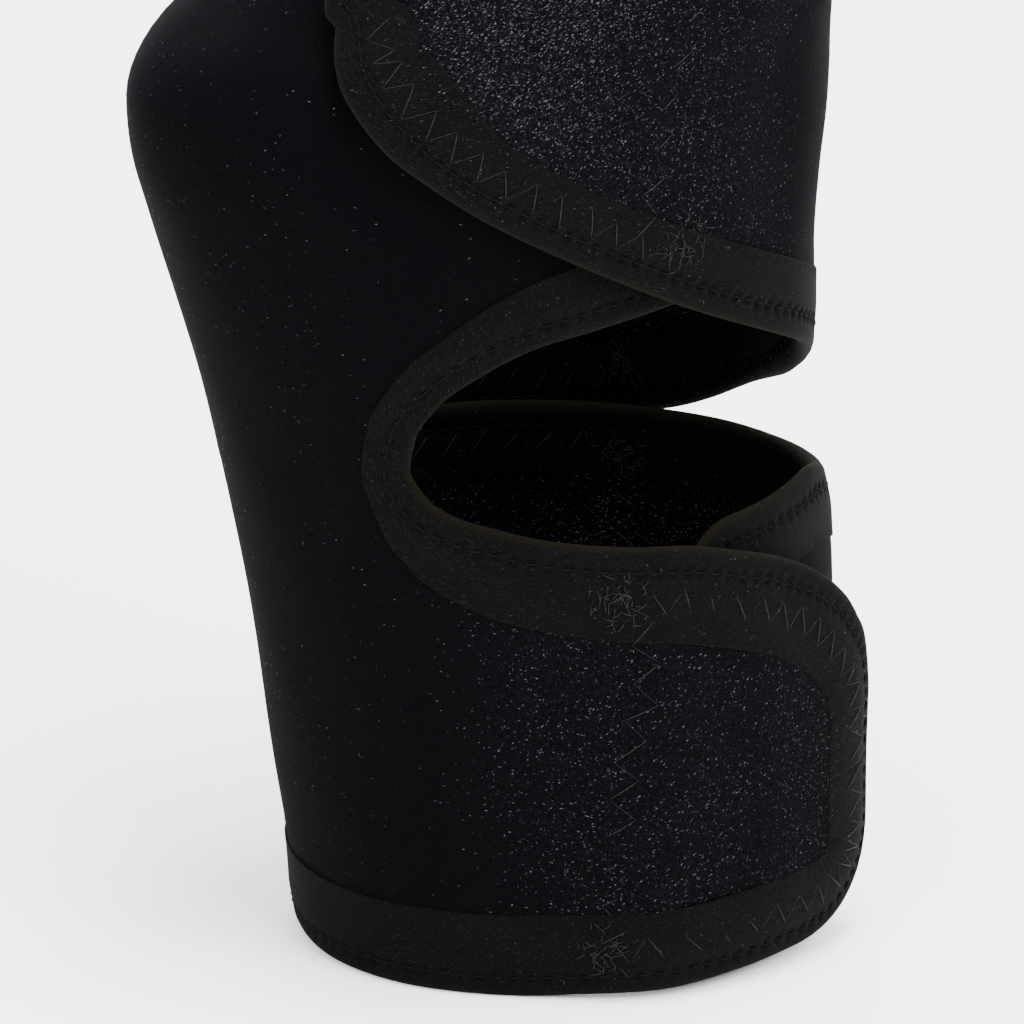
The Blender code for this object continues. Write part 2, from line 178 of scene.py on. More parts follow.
class SupportSizes(bpy.types.PropertyGroup):
    """The sheet and the tape on its edge."""

    height: metres("Height", "From the bottom rim to the top rim", 0.196)
    heel_reach: metres("Heel reach", "From the axis to the heel, at its furthest", 0.0765)
    back_reach: metres("Back reach", "From the axis to the side opposite the heel", 0.0394)
    half_width: metres("Half width", "Half the width across the sides", 0.0397)
    sheet: metres("Sheet", "Thickness of the laminated neoprene", 0.003)
    rim: metres("Rim", "How far the folded tape stands past the sheet's cut edge", 0.00115)
    tape: metres("Tape", "Thickness of the tape", 0.00055)
    tape_width: metres("Tape width", "Width of the folded tape on each face", 0.0135)


class SeamSizes(bpy.types.PropertyGroup):
    """The zigzag seams of the patches and the running seam of the tape."""

    thread: metres("Thread", "Diameter of the sewing thread", 0.00016)
    zigzag_pitch: metres("Zigzag pitch", "Length of one zig and one zag", 0.0055)
    zigzag_width: metres("Zigzag width", "Width of the zigzag", 0.0040)
    zigzag_depth: metres("Zigzag depth", "From the sheet's edge to the middle of the zigzag", 0.0074)
    narrow_depth: metres("Narrow depth", "The same where the strap's narrower tape is", 0.0054)
    running_pitch: metres("Running pitch", "Length of one running stitch", 0.0028)
    running_depth: metres("Running depth", "From the sheet's edge to the running seam", 0.0026)


class FinishSettings(bpy.types.PropertyGroup):
    """Colours and the amount of nap."""

    cloth: hex_colour("Napped cloth", "Ground colour of the sheet's napped nylon face", "#020203")
    # This colour is also painted onto the cloth as the loops' glints, the bright strokes where they catch the
    # light
    loops: hex_colour("Loops", "Colour of the nap's loops where they catch the light", "#4f4f52")
    tape: hex_colour("Tape", "Colour of the twill tape", "#040404")
    thread: hex_colour("Thread", "Colour of the zigzag thread", "#212223")
    loop_count: IntProperty(
        name="Loops a face", description="Number of standing loops modelled on each face of the sheet",
        default=32000, min=0, max=33000)


# The sheet on its form

def smooth(share):
    """A smooth step from 0 to 1."""
    share = np.clip(share, 0.0, 1.0)
    return share * share * (3 - 2 * share)


def curve(rows, column, at):
    """A smooth curve through one column of a table, never beyond its neighbouring rows."""
    table = np.array(rows)
    places, values = table[:, 0], table[:, column]
    spans = np.diff(places)
    slopes = np.diff(values) / spans
    before, after = slopes[:-1], slopes[1:]
    middle = (before * spans[1:] + after * spans[:-1]) / (spans[:-1] + spans[1:])
    limit = np.where(before * after > 0, 3 * np.minimum(abs(before), abs(after)), 0.0)
    tangents = np.concatenate((slopes[:1], np.clip(middle, -limit, limit), slopes[-1:]))
    at = np.clip(at, places[0], places[-1])
    i = np.clip(np.searchsorted(places, at, "right") - 1, 0, len(spans) - 1)
    t = (at - places[i]) / spans[i]
    start = (2 * t**3 - 3 * t**2 + 1) * values[i] + (t**3 - 2 * t**2 + t) * spans[i] * tangents[i]
    end = (3 * t**2 - 2 * t**3) * values[i + 1] + (t**3 - t**2) * spans[i] * tangents[i + 1]
    return start + end


def unit(vectors):
    """Vectors scaled to a length of 1."""
    return vectors / np.linalg.norm(vectors, axis=-1, keepdims=True)


class Wrap:
    """The sheet's outline, layers and thickness on the form that it is wrapped round."""

    def __init__(self, sizes):
        for name in SupportSizes.__annotations__:
            setattr(self, name, getattr(sizes, name))
        self.corners = {
            id(LOWER_FOOT): (-1, {FLAP_TIP: FLAP_RADIUS, FAR_END: FLAP_RADIUS}),
            id(LOWER_TOP): (1, {FAR_END: END_RADIUS}),
            id(UPPER_FOOT): (-1, {NEAR_END: END_RADIUS}),
            id(UPPER_TOP): (1, {STRAP_TIP: STRAP_RADIUS, NEAR_END: END_RADIUS}),
        }
        self.paths = self.edge_paths()
        self.edges = self.edge_tree()

    def form(self, angle, height):
        """Points of the form, the middle of the inner layer."""
        share = height / self.height
        heel = self.heel_reach * curve(SECTIONS, 1, share)
        back = self.back_reach * curve(SECTIONS, 2, share)
        side = self.half_width * curve(SECTIONS, 3, share)
        turn = np.radians(angle)
        middle = (back - heel) / 2 - (heel + back) / 2 * np.cos(turn)
        return np.stack((middle, -side * np.sin(turn), height + 0.0 * turn), axis=-1)

    def tangents(self, angle, height):
        """The form's two tangents, per degree and per metre, and its outward normal."""
        low = np.maximum(height - RISE_STEP, 0.0)
        high = np.minimum(height + RISE_STEP, self.height)
        along = self.form(angle + TURN_STEP, height) - self.form(angle - TURN_STEP, height)
        along = along / (2 * TURN_STEP)
        upward = (self.form(angle, high) - self.form(angle, low)) / np.asarray(high - low)[..., None]
        return along, upward, unit(np.cross(along, upward))

    def edge_height(self, edge, angle):
        """The height of a band's edge, its rounded corners taken off."""
        angle = np.asarray(angle, float)
        heights = dict(edge)
        if FAR_ROOT in heights:
            far = curve([row for row in edge if row[0] < 0], 1, angle)
            near = curve([row for row in edge if row[0] > 0], 1, angle)
            along = (angle - FAR_ROOT) / (NEAR_ROOT - FAR_ROOT)
            seam = heights[FAR_ROOT] + along * (heights[NEAR_ROOT] - heights[FAR_ROOT])
            share = np.where(angle < FAR_ROOT, far, np.where(angle > NEAR_ROOT, near, seam))
            past_root = np.maximum(FAR_ROOT - angle, angle - NEAR_ROOT)
            inset = self.rim * np.clip(past_root / RIM_GROWTH, 0.0, 1.0)
        else:
            share = curve(edge, 1, angle)
            inset = self.rim
        side, corners = self.corners[id(edge)]
        height = share * self.height - side * inset
        for end, radius in corners.items():
            at_end = curve(edge, 1, np.array(end)) * self.height - side * self.rim
            metres_a_degree = np.linalg.norm(self.tangents(np.array(end), at_end)[0])
            across = np.clip(radius - abs(angle - end) * metres_a_degree, 0.0, radius)
            height = height - side * (radius - np.sqrt(radius * radius - across * across))
        return height

    def climb(self, upper, angle):
        """How far a band stands out from the form, where it lies over the other layer."""
        def share(layers):
            rises = [(after - before) * smooth((angle - start) / (end - start))
                     for (start, before), (end, after) in zip(layers, layers[1:])]
            return layers[0][1] + sum(rises)

        return LIFT * np.where(upper, share(STRAP_LAYERS), share(FLAP_LAYERS))

    def ripple(self, upper, angle, height):
        """The sheet's slow unevenness, as worn foam has it."""
        turn = np.radians(angle)
        up = height / self.height * 2 * math.pi
        waves = (
            0.5 * np.sin(3.1 * turn + 1.3 * up + 0.7)
            + 0.3 * np.sin(7.3 * turn - 2.1 * up + np.where(upper, 2.0, 0.3))
            + 0.2 * np.sin(12.7 * turn + 4.3 * up + 1.9)
        )
        return RIPPLE * waves

    def half_thickness(self, depth):
        """Half the sheet's thickness at a distance from its edge: the tape pinches the foam there."""
        return self.sheet / 2 * (PINCHED + (1 - PINCHED) * smooth(depth / PINCH_REACH))

    def skin(self, depth, reach):
        """How far the outside lies from the sheet's middle, with the tape where there is tape."""
        on_tape = self.half_thickness(depth) + self.tape * (1 - TAPE_TAPER * smooth(depth / reach))
        return np.where(depth < reach, on_tape, self.half_thickness(depth))

    def place(self, upper, angle, height, depth, out):
        """Points of the sheet, at a distance outside its middle. depth: distance from the nearest edge."""
        on_form = np.clip(height, 0.0, self.height)
        normal = self.tangents(angle, on_form)[2]
        lift = self.climb(upper, angle)
        droop = EDGE_DROOP * lift / LIFT * (1 - smooth(depth / DROOP_REACH))
        offset = lift - droop + self.ripple(upper, angle, height) + out
        points = self.form(angle, on_form) + normal * np.asarray(offset)[..., None] + FORM_ORIGIN
        points[..., 2] += height - on_form
        return points

    def edge_paths(self):
        """The sheet's whole outline, in the four lengths of tape, each evenly stepped."""
        def along(upper, edge, start, stop):
            angles = start + (stop - start) * (1 - np.cos(np.linspace(0, math.pi, EDGE_STEPS))) / 2
            return [(upper, angle, height) for angle, height in zip(angles, self.edge_height(edge, angles))]

        def up(upper, angle, start, stop):
            return [(upper, angle, height) for height in np.linspace(start, stop, END_STEPS)]

        foot, head = {}, {}
        for *ends, low, high in BANDS.values():
            for angle in ends:
                foot[angle] = float(self.edge_height(low, angle))
                head[angle] = float(self.edge_height(high, angle))
        middle = {angle: (foot[angle] + head[angle]) / 2 for angle in foot}
        rows = {
            "bottom": up(False, FLAP_TIP, middle[FLAP_TIP], foot[FLAP_TIP])
            + along(False, LOWER_FOOT, FLAP_TIP, FAR_END)
            + up(False, FAR_END, foot[FAR_END], middle[FAR_END]),
            "strap": up(False, FAR_END, middle[FAR_END], head[FAR_END])
            + along(False, LOWER_TOP, FAR_END, FAR_ROOT)
            + along(True, UPPER_FOOT, FAR_ROOT, STRAP_TIP)
            + up(True, STRAP_TIP, foot[STRAP_TIP], middle[STRAP_TIP]),
            "top": up(True, STRAP_TIP, middle[STRAP_TIP], head[STRAP_TIP])
            + along(True, UPPER_TOP, STRAP_TIP, NEAR_END)
            + up(True, NEAR_END, head[NEAR_END], middle[NEAR_END]),
            "opening": up(True, NEAR_END, middle[NEAR_END], foot[NEAR_END])
            + along(True, UPPER_FOOT, NEAR_END, NEAR_ROOT)
            + along(False, LOWER_TOP, NEAR_ROOT, FLAP_TIP)
            + up(False, FLAP_TIP, head[FLAP_TIP], middle[FLAP_TIP]),
        }
        roots = [self.form(np.array(angle), self.edge_height(UPPER_FOOT, angle))
                 for angle in (NEAR_ROOT, FAR_ROOT)]
        return {name: EdgePath(self, path, roots, TAPE_SHARES[name]) for name, path in rows.items()}

    def edge_tree(self):
        """The outline's points, to find how far a point of the sheet is from its nearest edge."""
        points = np.concatenate([path.middle for path in self.paths.values()])
        tree = KDTree(len(points))
        for k, point in enumerate(points):
            tree.insert(point, k)
        tree.balance()
        return tree

    def depth(self, upper, angle, height):
        """How far points of the sheet are from its nearest edge."""
        normal = self.tangents(angle, height)[2]
        points = self.form(angle, height) + normal * self.climb(upper, angle)[..., None]
        found = [self.edges.find(point)[2] for point in points.reshape(-1, 3)]
        return np.array(found).reshape(points.shape[:-1])


class EdgePath:
    """One length of the sheet's edge, in even steps, with the direction into the sheet at each."""

    def __init__(self, wrap, rows, roots, share):
        upper = np.array([row[0] for row in rows])
        angle = np.array([row[1] for row in rows])
        height = np.array([row[2] for row in rows])
        points = self.centre(wrap, upper, angle, height)
        arc = np.concatenate(([0.0], np.cumsum(np.linalg.norm(np.diff(points, axis=0), axis=1))))
        self.length = arc[-1]
        self.arc = np.linspace(0, self.length, round(self.length / TAPE_STEP) + 1)
        self.angle = np.interp(self.arc, arc, angle)
        self.height = np.interp(self.arc, arc, height)
        self.upper = upper[np.clip(np.searchsorted(arc, self.arc), 0, len(arc) - 1)]
        self.middle = self.centre(wrap, self.upper, self.angle, self.height)
        along, upward, normal = wrap.tangents(self.angle, self.height)
        ahead = np.gradient(self.middle, axis=0)
        inward = unit(np.cross(ahead, normal))
        a, b, c = ((along * along).sum(1), (along * upward).sum(1), (upward * upward).sum(1))
        p, q = (along * inward).sum(1), (upward * inward).sum(1)
        self.turn = (c * p - b * q) / (a * c - b * b)
        self.rise = (a * q - b * p) / (a * c - b * b)
        nearest = np.min([np.linalg.norm(self.middle - root, axis=1) for root in roots], axis=0)
        spread = np.where(self.upper, UPPER_SPREAD, LOWER_SPREAD)
        self.reach = wrap.tape_width * share * (1 - ROOT_NARROWING * np.exp(-((nearest / spread) ** 2)))

    @staticmethod
    def centre(wrap, upper, angle, height):
        normal = wrap.tangents(angle, height)[2]
        return wrap.form(angle, height) + normal * wrap.climb(upper, angle)[:, None]

    def at(self, arc, depth):
        """Band, angle and height of points at a distance along the edge and a depth inside it."""
        k = np.clip(np.rint(arc / self.length * (len(self.arc) - 1)).astype(int), 0, len(self.arc) - 1)
        angle = np.interp(arc, self.arc, self.angle) + np.interp(arc, self.arc, self.turn) * depth
        height = np.interp(arc, self.arc, self.height) + np.interp(arc, self.arc, self.rise) * depth
        return self.upper[k], angle, height, self.reach[k]

    def stretch(self, upper, low, high):
        """Where the edge of a band runs between two angles: start and end, as distances along it."""
        on_it = np.flatnonzero((self.upper == upper) & (self.angle >= low) & (self.angle <= high))
        return self.arc[on_it[0]], self.arc[on_it[-1]]


# Small forms on the cloth that the sizes above don't name
TAPE_STEP = 0.0006
# How much of the tape's thickness is lost toward its inner edge
TAPE_TAPER = 0.35
# How much of the foam's thickness is left under the fold, and how far in the pinch reaches
PINCHED = 0.66
PINCH_REACH = 0.006
EDGE_DROOP = 0.0009
DROOP_REACH = 0.012
RIPPLE = 0.00028
TAPE_SHARES = {"bottom": 1.0, "strap": 0.8, "top": 0.8, "opening": 1.0}
ROOT_NARROWING = 0.54
# The upper band's tape stays gathered further from the root than the lower band's
UPPER_SPREAD = 0.034
LOWER_SPREAD = 0.012
TAPE_SEAT = 0.00008
PUCKER = 0.00062
INNER_PUCKER = 0.00012
PUCKER_WIDTH = 0.0008
# From the tape's inner edge to the puckers there
INNER_LINE = 0.0012
# How far a patch's print stands out, where it starts and fades in, and the same in degrees at its end
PATCH_PRINT = 0.00022
PRINT_FADE = 0.006
PRINT_LEAD = 1.0
PRINT_TURN = 2.5


# Pieces and materials

def add_object(name, data):
    thing = bpy.data.objects.new(name, data)
    bpy.context.scene.collection.objects.link(thing)
    return thing


def new_mesh(name, points, faces, material):
    """A smooth mesh. faces: rows of corners, as an array or a list."""
    mesh = bpy.data.meshes.new(name)
    mesh.from_pydata(np.asarray(points).tolist(), [], faces if isinstance(faces, list) else faces.tolist())
    mesh.polygons.foreach_set("use_smooth", [True] * len(mesh.polygons))
    mesh.update()
    mesh.materials.append(material)
    return add_object(name, mesh)


def new_piece(name, points, faces, material, slot, replaced=()):
    """A mesh piece that rides on the part's one body."""
    piece = new_mesh(name, points, faces, material)
    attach(piece, BODY)
    if replaced:
        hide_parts(*replaced)
    return piece


def turn_outward(piece):
    """Turn all of a closed piece's faces outward."""
    bm = bmesh.new()
    bm.from_mesh(piece.data)
    bmesh.ops.recalc_face_normals(bm, faces=bm.faces)
    bm.to_mesh(piece.data)
    bm.free()


def give(piece, name, values):
    """Store one number or vector at each point of a piece, for its material."""
    values = np.asarray(values, float)
    kind, field = ("FLOAT_VECTOR", "vector") if values.ndim == 2 else ("FLOAT", "value")
    attribute = piece.data.attributes.new(name, kind, "POINT")
    attribute.data.foreach_set(field, values.ravel())


def add_node(tree, kind, inputs=None, **settings):
    """Add a node with its settings. Each input is a plain value, or the socket to link from."""
    node = tree.nodes.new(kind)
    for name, value in settings.items():
        setattr(node, name, value)
    for name, value in (inputs or {}).items():
        if isinstance(value, bpy.types.NodeSocket):
            tree.links.new(value, node.inputs[name])
        else:
            node.inputs[name].default_value = value
    return node


def new_material(name, **sockets):
    """A material with its shader's plain values set on the sockets themselves, and where each point is."""
    material = bpy.data.materials.new(name)
    material.use_nodes = True
    tree = material.node_tree
    shader = tree.nodes["Principled BSDF"]
    for socket, value in sockets.items():
        shader.inputs[socket.replace("_", " ")].default_value = value
    return material, tree, add_node(tree, "ShaderNodeTexCoord").outputs["Object"]


def scale_for(size_mm):
    """The texture scale at which one feature of a pattern is that many millimetres."""
    return 1000 / size_mm


def stored(tree, name, output="Fac"):
    """A number or vector that give() stored."""
    return add_node(tree, "ShaderNodeAttribute", attribute_name=name).outputs[output]


def noise(tree, where, size_mm, detail):
    return add_node(tree, "ShaderNodeTexNoise", {"Scale": scale_for(size_mm), "Detail": detail,
                                                 "Vector": where}).outputs["Fac"]


def maths(tree, operation, first, second):
    return add_node(tree, "ShaderNodeMath", {0: first, 1: second}, operation=operation).outputs[0]


def ranged(tree, value, low, high):
    """A value's place between two bounds, from 0 to 1."""
    return add_node(tree, "ShaderNodeMapRange",
                    {"Value": value, "From Min": low, "From Max": high}).outputs["Result"]


def mix(tree, factor, first, second):
    """The first colour where the factor is 0, the second where it is 1."""
    return add_node(tree, "ShaderNodeMix", {"Factor": factor, "A": first, "B": second},
                    data_type="RGBA").outputs["Result"]


def finish_with(tree, colour, height=None, strength=0.0, distance=0.0):
    """Link a material's colour and, where a height is given, its fine relief."""
    shader = tree.nodes["Principled BSDF"]
    tree.links.new(colour, shader.inputs["Base Color"])
    if height is not None:
        bump = add_node(tree, "ShaderNodeBump",
                        {"Strength": strength, "Distance": distance, "Height": height})
        tree.links.new(bump.outputs["Normal"], shader.inputs["Normal"])


# At scale 1 a band wave repeats this often, in metres
WAVE_REPEAT = math.pi / 10
# A stroke's shape, and how far from its middle it starts and is full
STROKE = (1.0, 1.0, 2.6)
STROKE_EDGE = (0.30, 0.10)
# The share of the strokes that is lint on the tape
LINT = 0.17


def specks(tree, where, turn, size_mm, share):
    """How bright each point is in a field of short strokes: a share of them show, each in its own tone."""
    laid = add_node(tree, "ShaderNodeMapping", {"Rotation": turn, "Scale": STROKE, "Vector": where},
                    vector_type="TEXTURE").outputs["Vector"]
    cell = add_node(tree, "ShaderNodeTexVoronoi", {"Scale": scale_for(size_mm), "Vector": laid}).outputs
    tone = add_node(tree, "ShaderNodeSeparateColor", {"Color": cell["Color"]}).outputs
    shown = maths(tree, "LESS_THAN", tone["Red"], share)
    lit = maths(tree, "MULTIPLY", shown, ranged(tree, cell["Distance"], *STROKE_EDGE))
    return maths(tree, "MULTIPLY", lit, maths(tree, "POWER", tone["Green"], 2.0))


def napped_neoprene(finish):
    """Neoprene foam with a brushed nylon loop face: a matt blue-black ground, with the fine loops' glints
    painted on as short bright strokes.
    """
    material, tree, where = new_material(
        "napped_neoprene", Roughness=0.92, IOR=1.5, Specular_IOR_Level=0.015, Sheen_Weight=0.01,
        Sheen_Roughness=0.5, Sheen_Tint=linear("#8c8ea0"))
    nap = stored(tree, "nap")
    # Broad, faint change of the ground, as handling leaves it
    ground = mix(tree, noise(tree, where, 16, 3.0), finish.cloth, linear("#030304"))
    # Grain of the pile, with painted sheen: lighter where the pile is high, stronger where the nap is raised
    pile = noise(tree, where, 0.42, 2.0)
    pile_grain_and_sheen = maths(tree, "MULTIPLY", ranged(tree, pile, 0.42, 0.68), nap)
    ground_with_grain_and_sheen = mix(tree, pile_grain_and_sheen, ground, linear("#0c0c0e"))
    # The loops' glints are painted on as short bright strokes, more of them where the nap stands thick; the
    # loops lie every way, so two fields of strokes are laid over each other
    share = maths(tree, "POWER", nap, 1.9)
    loops = maths(tree, "MAXIMUM", specks(tree, where, (0.3, 0.9, 0.2), 0.40, share),
                  specks(tree, where, (1.7, 0.4, 1.0), 0.35, share))
    finish_with(tree, mix(tree, loops, ground_with_grain_and_sheen, finish.loops), maths(tree, "ADD", pile, loops), 0.7, 0.0003)
    return material


def twill_tape(finish):
    """Polyester twill binding: fine diagonal ribs, matt black, linty, browned a little along the fold."""
    material, tree, where = new_material(
        "twill_tape", Roughness=0.9, IOR=1.5, Specular_IOR_Level=0.02, Sheen_Weight=0.015,
        Sheen_Roughness=0.5, Sheen_Tint=linear("#9a9a9c"))
    weave = stored(tree, "weave", "Vector")
    # The ribs are about 0.3 mm apart on such a tape; drawn at 0.45 mm, the least that shows
    laid = add_node(tree, "ShaderNodeMapping", {"Rotation": (0, 0, math.radians(52)), "Vector": weave})
    ribs = add_node(tree, "ShaderNodeTexWave",
                    {"Scale": scale_for(0.45) * WAVE_REPEAT, "Distortion": 2.6, "Detail": 2.0,
                     "Detail Scale": 2.0, "Vector": laid.outputs["Vector"]},
                    bands_direction="X").outputs["Fac"]
    fluff = noise(tree, weave, 0.5, 3.0)
    ribbed = mix(tree, ribs, finish.tape, linear("#080808"))
    clouded = mix(tree, noise(tree, weave, 9, 2.0), ribbed, linear("#030303"))
    fluffy = mix(tree, ranged(tree, fluff, 0.52, 0.80), clouded, linear("#0f0f10"))
    linted = mix(tree, specks(tree, where, (1.3, 0.5, 1.9), 0.5, LINT), fluffy, linear("#29292c"))
    worn = mix(tree, stored(tree, "fold"), linted, linear("#0f0d07"))
    finish_with(tree, worn, maths(tree, "ADD", ribs, fluff), 0.45, 0.00016)
    return material


def nylon_loops(finish):
    """Single nylon filaments of the nap: smooth and half clear, so each shows as a small bright stroke."""
    material, tree, where = new_material("nylon_loops", Roughness=0.42, IOR=1.53, Specular_IOR_Level=0.3)
    shade = ranged(tree, noise(tree, where, 1.4, 2.0), 0.35, 0.7)
    finish_with(tree, mix(tree, shade, linear("#23242c"), finish.loops))
    return material


def sewing_thread(name, colour, roughness, gloss):
    """Twisted sewing thread: plies that show faintly, with a soft gloss."""
    material, tree, where = new_material(name, Roughness=roughness, IOR=1.53, Specular_IOR_Level=gloss)
    finish_with(tree, mix(tree, noise(tree, where, 0.35, 1.0), linear("#050505"), colour))
    return material


def hook_tape():
    """Moulded nylon hook tape: satin black hooks on a woven ground."""
    material, tree, where = new_material("hook_tape", Roughness=0.42, IOR=1.53, Specular_IOR_Level=0.5)
    weave = noise(tree, where, 0.5, 2.0)
    finish_with(tree, mix(tree, weave, linear("#08080a"), linear("#1e1e22")), weave, 0.4, 0.0001)
    return material


def backdrop_card():
    """Matt painted studio card."""
    material, tree, where = new_material("studio_card", Roughness=0.95, Specular_IOR_Level=0.1)
    tone = add_node(tree, "ShaderNodeTexNoise", {"Scale": 1.5, "Detail": 1.0, "Vector": where})
    finish_with(tree, mix(tree, tone.outputs["Fac"], linear("#fbfbfb"), linear("#ffffff")))
    return material


# The sheet

LOWER_ROWS = 50
UPPER_ROWS = 72
COLUMN_STEP = 1.5

# How thickly the nap stands, from 0 to 1, and how much that drifts: inside, and where the outside's nap is
# thin
INSIDE_NAP = 0.42
INSIDE_DRIFT = 0.25
BASE_STRAP_NAP = 0.08
BASE_FLAP_NAP = 0.10
OUTSIDE_DRIFT = 0.08
# What is added on the strap and on its patch, and on the flap and its drift
STRAP_NAP_GAIN = (0.40, 0.36)
FLAP_NAP = (0.36, 0.10)
# Where the thicker nap starts and over how far it comes in, in degrees
STRAP_START = -228
STRAP_FADE = 18
STRAP_PATCH = -262
STRAP_PATCH_FADE = 30
FLAP_START = 30
FLAP_FADE = 50


def band_grid(wrap, upper):
    """Angles and heights of a band's grid, a column at each angle."""
    first, last, foot, top = BANDS[upper]
    stops = (first, FAR_ROOT, NEAR_ROOT, last)
    angles = [np.array([first])]
    for start, stop in zip(stops, stops[1:]):
        angles.append(np.linspace(start, stop, math.ceil((stop - start) / COLUMN_STEP) + 1)[1:])
    angles = np.concatenate(angles)
    low = wrap.edge_height(foot, angles)
    high = wrap.edge_height(top, angles)
    shares = np.linspace(0, 1, (UPPER_ROWS if upper else LOWER_ROWS) + 1)
    heights = low[:, None] + (high - low)[:, None] * shares
    return np.repeat(angles[:, None], len(shares), axis=1), heights


def patch_share(upper, angle, height_share):
    """1 where a patch lies under the sheet's face, 0 elsewhere, with a soft edge between."""
    seam = STRAP_SEAM if upper else FLAP_SEAM
    line = curve(seam, 1, height_share)
    past = (line - angle) if upper else (angle - line)
    return smooth((past + PRINT_LEAD) / PRINT_TURN)


def patch_print(upper, angle, height_share, depth):
    """How far the patches under the sheet print through to its face."""
    share = np.where(upper, patch_share(True, angle, height_share), patch_share(False, angle, height_share))
    return PATCH_PRINT * share * smooth((depth - PRINT_FADE) / PRINT_FADE)


def nap_amount(upper, angle, height_share, outside):
    """How thickly the loops stand, from 0 to 1, which also sets how many painted glints and how much painted
    sheen show: thick over the patches, thin on the front.
    """
    turn = np.radians(angle)
    drift = 0.5 + 0.25 * np.sin(5.1 * turn + 9 * height_share) + 0.25 * np.sin(9.7 * turn - 6 * height_share)
    if not outside:
        return INSIDE_NAP + INSIDE_DRIFT * drift
    if upper:
        strap = smooth((STRAP_START - angle) / STRAP_FADE)
        bright = smooth((STRAP_PATCH - angle) / STRAP_PATCH_FADE)
        return BASE_STRAP_NAP + OUTSIDE_DRIFT * drift + strap * (STRAP_NAP_GAIN[0] + STRAP_NAP_GAIN[1] * bright)
    flap = smooth((angle - FLAP_START) / FLAP_FADE)
    return BASE_FLAP_NAP + OUTSIDE_DRIFT * drift + flap * (FLAP_NAP[0] + FLAP_NAP[1] * drift)


def build_sheet(wrap, finish):
    """The laminated foam sheet, one closed skin over both bands."""
    grids = {upper: band_grid(wrap, upper) for upper in (False, True)}
    corners, nap, index, count = [], [], {}, 0
    for upper, (angle, height) in grids.items():
        depth = wrap.depth(np.full(angle.shape, upper), angle, height)
        half = wrap.half_thickness(depth)
        share = height / wrap.height
        printed = patch_print(upper, angle, share, depth)
        for side in (1, -1):
            out = side * half + (printed if side > 0 else 0.0)
            corners.append(wrap.place(upper, angle, height, depth, out).reshape(-1, 3))
            nap.append(nap_amount(upper, angle, share, side > 0).ravel())
            index[upper, side] = count + np.arange(angle.size).reshape(angle.shape)
            count += angle.size
    lower_angles = grids[False][0][:, 0]
    upper_angles = grids[True][0][:, 0]
    lower_seam = np.flatnonzero((lower_angles > FAR_ROOT - 1e-6) & (lower_angles < NEAR_ROOT + 1e-6))
    upper_seam = np.flatnonzero((upper_angles > FAR_ROOT - 1e-6) & (upper_angles < NEAR_ROOT + 1e-6))
    for side in (1, -1):
        index[True, side][upper_seam, 0] = index[False, side][lower_seam, -1]
    faces = []
    for upper in (False, True):
        seam = upper_seam if upper else lower_seam
        open_foot = np.ones(len(index[upper, 1]) - 1, bool)
        open_top = open_foot.copy()
        (open_foot if upper else open_top)[seam[:-1]] = False
        faces += sheet_faces(index[upper, 1], index[upper, -1], open_foot, open_top)
    faces = np.concatenate(faces)
    used, faces = np.unique(faces, return_inverse=True)
    points = np.concatenate(corners)[used]
    sheet = new_piece("foam_sheet", points, faces.reshape(-1, 4), napped_neoprene(finish), "napped_neoprene",
                      ["wrap_panel"])
    give(sheet, "nap", np.concatenate(nap)[used])
    return sheet


def sheet_faces(outer, inner, open_foot, open_top):
    """The faces of one band: its two skins, and the rims between them where it isn't joined on."""
    def quads(a, b, c, d):
        return np.stack((a, b, c, d), axis=-1).reshape(-1, 4)

    o, i = outer, inner
    return [
        quads(o[:-1, :-1], o[1:, :-1], o[1:, 1:], o[:-1, 1:]),
        quads(i[:-1, :-1], i[:-1, 1:], i[1:, 1:], i[1:, :-1]),
        quads(o[1:, 0], o[:-1, 0], i[:-1, 0], i[1:, 0])[open_foot],
        quads(o[:-1, -1], o[1:, -1], i[1:, -1], i[:-1, -1])[open_top],
        quads(o[0, :-1], o[0, 1:], i[0, 1:], i[0, :-1]),
        quads(o[-1, 1:], o[-1, :-1], i[-1, :-1], i[-1, 1:]),
    ]


# The tape

FACE_SHARES = (1.0, 0.985, 0.95, 0.88, 0.79, 0.7, 0.6, 0.5, 0.42, 0.35, 0.29, 0.235, 0.18, 0.13, 0.08)
FOLD_TURNS = (72, 48, 24, 0, -24, -48, -72)
LINING_SHARES = (0.99, 0.6, 0.3, 0.08)
# How worn the fold is, and how far in from it the wear reaches
FOLD_WEAR = 0.8
FOLD_WEAR_REACH = 0.0010


def tape_section(wrap, reach, arc, seams):
    """The folded tape's section at one place: depths, distances from the sheet's middle, and fold wear."""
    def face(share):
        depth = share * reach
        out = float(wrap.skin(np.array(min(depth, reach * 0.999)), reach))
        stitch = (0.5 + 0.5 * math.cos(2 * math.pi * arc / seams.running_pitch)) ** 2
        for line, pull in ((seams.running_depth, PUCKER), (reach - INNER_LINE, INNER_PUCKER)):
            out -= pull * stitch * math.exp(-(((depth - line) / PUCKER_WIDTH) ** 2))
        if share > 0.99:
            out = float(wrap.half_thickness(np.array(depth))) + TAPE_SEAT
        return depth, out

    outer = [face(share) for share in FACE_SHARES]
    base_depth, base_out = outer[-1]
    fold = []
    for turn in FOLD_TURNS:
        tilt = math.radians(turn)
        fold.append((base_depth - (base_depth + wrap.rim) * math.cos(tilt), base_out * math.sin(tilt)))
    inner = [(depth, -out) for depth, out in reversed(outer)]
    lining = [(share * reach, -float(wrap.half_thickness(np.array(share * reach))) - TAPE_SEAT)
              for share in LINING_SHARES]
    lining += [(depth, -out) for depth, out in reversed(lining)]
    return outer + fold + inner + lining


